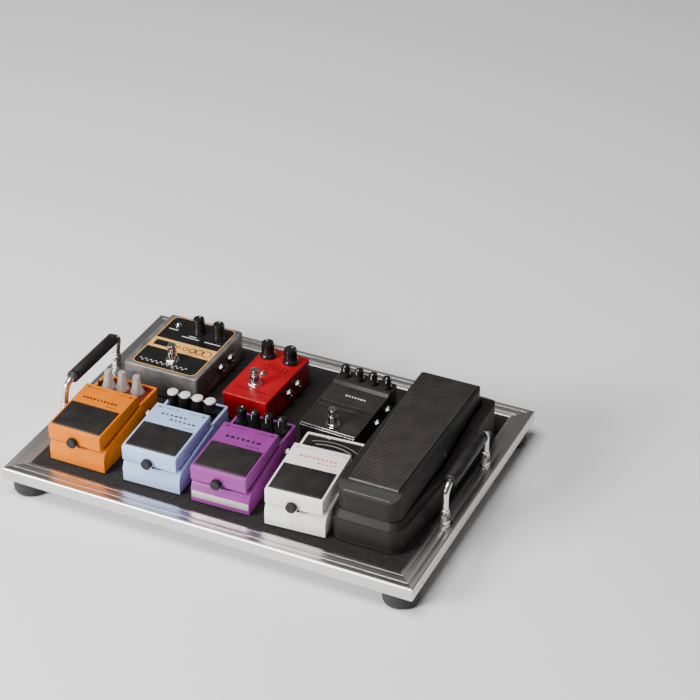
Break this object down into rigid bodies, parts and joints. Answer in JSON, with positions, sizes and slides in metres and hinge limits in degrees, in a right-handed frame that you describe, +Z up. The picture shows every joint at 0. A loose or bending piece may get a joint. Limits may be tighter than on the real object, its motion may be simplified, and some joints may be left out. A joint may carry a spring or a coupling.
{
  "type": "effects pedalboard",
  "caption": "Framed carpeted pedalboard on rubber feet with folding side handles, carrying compact effects pedals, switch pedals, a tuner and a rocker wah pedal.",
  "frame": {"origin": "on the floor under the middle of the board", "axes": "+X to the right along the width, +Y to the rear, +Z up"},
  "size_m": [0.522, 0.372, 0.1128],
  "materials": {
    "rail_aluminium": "satin extruded",
    "deck_wood": "painted black plywood",
    "deck_carpet": "short loop pile",
    "zinc_steel": "zinc plated",
    "foot_rubber": "matt",
    "handle_chrome": "polished",
    "pin_steel": "plain",
    "grip_rubber": "satin",
    "orange_paint": "fine metallic gloss",
    "blue_paint": "fine metallic gloss",
    "purple_paint": "gloss",
    "white_paint": "gloss",
    "display_plastic": "gloss window",
    "echo_metal": "dull cast",
    "red_paint": "gloss",
    "stomp_paint": "satin",
    "wah_paint": "black crackle",
    "tread_rubber": "ribbed",
    "socket_nickel": "nickel and black nylon",
    "switch_chrome": "polished",
    "led_plastic": "tinted",
    "base_rubber": "matt",
    "pad_rubber": "matt moulded",
    "clear_knob_plastic": "clear moulded acrylic",
    "black_knob_plastic": "gloss"
  },
  "bodies": {
    "board": {"base_plates": "base_rubber", "board_screws": "zinc_steel", "chorus_case": "blue_paint", "compressor_case": "red_paint", "corner_plates": "zinc_steel", "deck_carpet": "deck_carpet", "deck_panel": "deck_wood", "distortion_case": "orange_paint", "echo_case": "echo_metal", "flanger_case": "purple_paint", "front_rail": "rail_aluminium", "handle_mounts": "handle_chrome", "hinge_pins": "pin_steel", "jack_sockets": "socket_nickel", "led_lenses": "led_plastic", "left_rail": "rail_aluminium", "rear_rail": "rail_aluminium", "right_rail": "rail_aluminium", "rubber_feet": "foot_rubber", "stomp_case": "stomp_paint", "switch_bushings": "switch_chrome", "tuner_case": "white_paint", "tuner_display": "display_plastic", "wah_base": "wah_paint"},
    "left_handle": {"left_handle_bar": "handle_chrome", "left_handle_grip": "grip_rubber"},
    "right_handle": {"right_handle_bar": "handle_chrome", "right_handle_grip": "grip_rubber"},
    "distortion_treadle": {"distortion_treadle": "orange_paint", "distortion_pad": "pad_rubber"},
    "chorus_treadle": {"chorus_treadle": "blue_paint", "chorus_pad": "pad_rubber"},
    "flanger_treadle": {"flanger_treadle": "purple_paint", "flanger_pad": "pad_rubber"},
    "tuner_treadle": {"tuner_treadle": "white_paint", "tuner_pad": "pad_rubber"},
    "wah_treadle": {"wah_treadle": "wah_paint", "wah_tread_rubber": "tread_rubber"},
    "distortion_knob_1": {"distortion_knob_1": "clear_knob_plastic"},
    "distortion_knob_2": {"distortion_knob_2": "clear_knob_plastic"},
    "distortion_knob_3": {"distortion_knob_3": "clear_knob_plastic"},
    "chorus_knob_1": {"chorus_knob_1": "black_knob_plastic"},
    "chorus_knob_2": {"chorus_knob_2": "black_knob_plastic"},
    "chorus_knob_3": {"chorus_knob_3": "black_knob_plastic"},
    "chorus_knob_4": {"chorus_knob_4": "black_knob_plastic"},
    "flanger_knob_1": {"flanger_knob_1": "black_knob_plastic"},
    "flanger_knob_2": {"flanger_knob_2": "black_knob_plastic"},
    "flanger_knob_3": {"flanger_knob_3": "black_knob_plastic"},
    "flanger_knob_4": {"flanger_knob_4": "black_knob_plastic"},
    "echo_knob_1": {"echo_knob_1": "black_knob_plastic"},
    "echo_knob_2": {"echo_knob_2": "black_knob_plastic"},
    "compressor_knob_1": {"compressor_knob_1": "black_knob_plastic"},
    "compressor_knob_2": {"compressor_knob_2": "black_knob_plastic"},
    "stomp_knob_1": {"stomp_knob_1": "black_knob_plastic"},
    "stomp_knob_2": {"stomp_knob_2": "black_knob_plastic"},
    "stomp_knob_3": {"stomp_knob_3": "black_knob_plastic"},
    "stomp_knob_4": {"stomp_knob_4": "black_knob_plastic"},
    "echo_button": {"echo_button": "switch_chrome"},
    "compressor_button": {"compressor_button": "switch_chrome"},
    "stomp_button": {"stomp_button": "switch_chrome"}
  },
  "joints": [
    {"name": "left_handle_fold", "type": "hinge", "parent": "board", "child": "left_handle", "pos_m": [-0.2482, 0, 0.0512], "axis": [0, -1, 0], "range_deg": [0, 99]},
    {"name": "right_handle_fold", "type": "hinge", "parent": "board", "child": "right_handle", "pos_m": [0.2482, 0, 0.0512], "axis": [0, 1, 0], "range_deg": [0, 90]},
    {"name": "distortion_treadle_press", "type": "hinge", "parent": "board", "child": "distortion_treadle", "pos_m": [-0.18204, -0.06594, 0.0825], "axis": [1, 0.0017, 0], "range_deg": [0, 2.5], "stiffness_Nm_per_rad": 8, "springref_deg": -2.86},
    {"name": "chorus_treadle_press", "type": "hinge", "parent": "board", "child": "chorus_treadle", "pos_m": [-0.08559, -0.06535, 0.0825], "axis": [0.9996, 0.0297, 0], "range_deg": [0, 2.5], "stiffness_Nm_per_rad": 8, "springref_deg": -2.86},
    {"name": "flanger_treadle_press", "type": "hinge", "parent": "board", "child": "flanger_treadle", "pos_m": [0.00401, -0.06595, 0.0825], "axis": [0.9996, 0.0297, 0], "range_deg": [0, 2.5], "stiffness_Nm_per_rad": 8, "springref_deg": -2.86},
    {"name": "tuner_treadle_press", "type": "hinge", "parent": "board", "child": "tuner_treadle", "pos_m": [0.09616, -0.06761, 0.0825], "axis": [0.9979, 0.0645, 0], "range_deg": [0, 2.5], "stiffness_Nm_per_rad": 8, "springref_deg": -2.86},
    {"name": "wah_rock", "type": "hinge", "parent": "board", "child": "wah_treadle", "pos_m": [0.183, -0.002, 0.0835], "axis": [-1, 0, 0], "range_deg": [0, 12]},
    {"name": "distortion_knob_1_turn", "type": "hinge", "parent": "board", "child": "distortion_knob_1", "pos_m": [-0.2044, -0.03297, 0.0825], "axis": [0, 0, 1], "range_deg": [-150, 150]},
    {"name": "distortion_knob_2_turn", "type": "hinge", "parent": "board", "child": "distortion_knob_2", "pos_m": [-0.1872, -0.02994, 0.0825], "axis": [0, 0, 1], "range_deg": [-150, 150]},
    {"name": "distortion_knob_3_turn", "type": "hinge", "parent": "board", "child": "distortion_knob_3", "pos_m": [-0.1671, -0.02971, 0.0825], "axis": [0, 0, 1], "range_deg": [-150, 150]},
    {"name": "chorus_knob_1_turn", "type": "hinge", "parent": "board", "child": "chorus_knob_1", "pos_m": [-0.11229, -0.03863, 0.0825], "axis": [0, 0, 1], "range_deg": [-150, 150]},
    {"name": "chorus_knob_2_turn", "type": "hinge", "parent": "board", "child": "chorus_knob_2", "pos_m": [-0.0959, -0.03815, 0.0825], "axis": [0, 0, 1], "range_deg": [-150, 150]},
    {"name": "chorus_knob_3_turn", "type": "hinge", "parent": "board", "child": "chorus_knob_3", "pos_m": [-0.07951, -0.03766, 0.0825], "axis": [0, 0, 1], "range_deg": [-150, 150]},
    {"name": "chorus_knob_4_turn", "type": "hinge", "parent": "board", "child": "chorus_knob_4", "pos_m": [-0.06292, -0.03717, 0.0825], "axis": [0, 0, 1], "range_deg": [-150, 150]},
    {"name": "flanger_knob_1_turn", "type": "hinge", "parent": "board", "child": "flanger_knob_1", "pos_m": [-0.02303, -0.03474, 0.0825], "axis": [0, 0, 1], "range_deg": [-150, 150]},
    {"name": "flanger_knob_2_turn", "type": "hinge", "parent": "board", "child": "flanger_knob_2", "pos_m": [-0.00573, -0.03423, 0.0825], "axis": [0, 0, 1], "range_deg": [-150, 150]},
    {"name": "flanger_knob_3_turn", "type": "hinge", "parent": "board", "child": "flanger_knob_3", "pos_m": [0.01156, -0.03371, 0.0825], "axis": [0, 0, 1], "range_deg": [-150, 150]},
    {"name": "flanger_knob_4_turn", "type": "hinge", "parent": "board", "child": "flanger_knob_4", "pos_m": [0.02895, -0.0332, 0.0825], "axis": [0, 0, 1], "range_deg": [-150, 150]},
    {"name": "echo_knob_1_turn", "type": "hinge", "parent": "board", "child": "echo_knob_1", "pos_m": [-0.16213, 0.11531, 0.0825], "axis": [0, 0, 1], "range_deg": [-150, 150]},
    {"name": "echo_knob_2_turn", "type": "hinge", "parent": "board", "child": "echo_knob_2", "pos_m": [-0.13364, 0.11426, 0.0825], "axis": [0, 0, 1], "range_deg": [-150, 150]},
    {"name": "compressor_knob_1_turn", "type": "hinge", "parent": "board", "child": "compressor_knob_1", "pos_m": [-0.06162, 0.10741, 0.0825], "axis": [0, 0, 1], "range_deg": [-150, 150]},
    {"name": "compressor_knob_2_turn", "type": "hinge", "parent": "board", "child": "compressor_knob_2", "pos_m": [-0.03013, 0.10654, 0.0825], "axis": [0, 0, 1], "range_deg": [-150, 150]},
    {"name": "stomp_knob_1_turn", "type": "hinge", "parent": "board", "child": "stomp_knob_1", "pos_m": [0.04673, 0.10195, 0.0825], "axis": [0, 0, 1], "range_deg": [-150, 150]},
    {"name": "stomp_knob_2_turn", "type": "hinge", "parent": "board", "child": "stomp_knob_2", "pos_m": [0.06511, 0.10115, 0.0825], "axis": [0, 0, 1], "range_deg": [-150, 150]},
    {"name": "stomp_knob_3_turn", "type": "hinge", "parent": "board", "child": "stomp_knob_3", "pos_m": [0.0837, 0.10034, 0.0825], "axis": [0, 0, 1], "range_deg": [-150, 150]},
    {"name": "stomp_knob_4_turn", "type": "hinge", "parent": "board", "child": "stomp_knob_4", "pos_m": [0.10188, 0.09954, 0.0825], "axis": [0, 0, 1], "range_deg": [-150, 150]},
    {"name": "echo_button_press", "type": "slide", "parent": "board", "child": "echo_button", "axis": [0, 0, -1], "range_m": [0, 0.003], "stiffness_N_per_m": 900, "springref_m": -0.004},
    {"name": "compressor_button_press", "type": "slide", "parent": "board", "child": "compressor_button", "axis": [0, 0, -1], "range_m": [0, 0.003], "stiffness_N_per_m": 900, "springref_m": -0.004},
    {"name": "stomp_button_press", "type": "slide", "parent": "board", "child": "stomp_button", "axis": [0, 0, -1], "range_m": [0, 0.003], "stiffness_N_per_m": 900, "springref_m": -0.004}
  ]
}
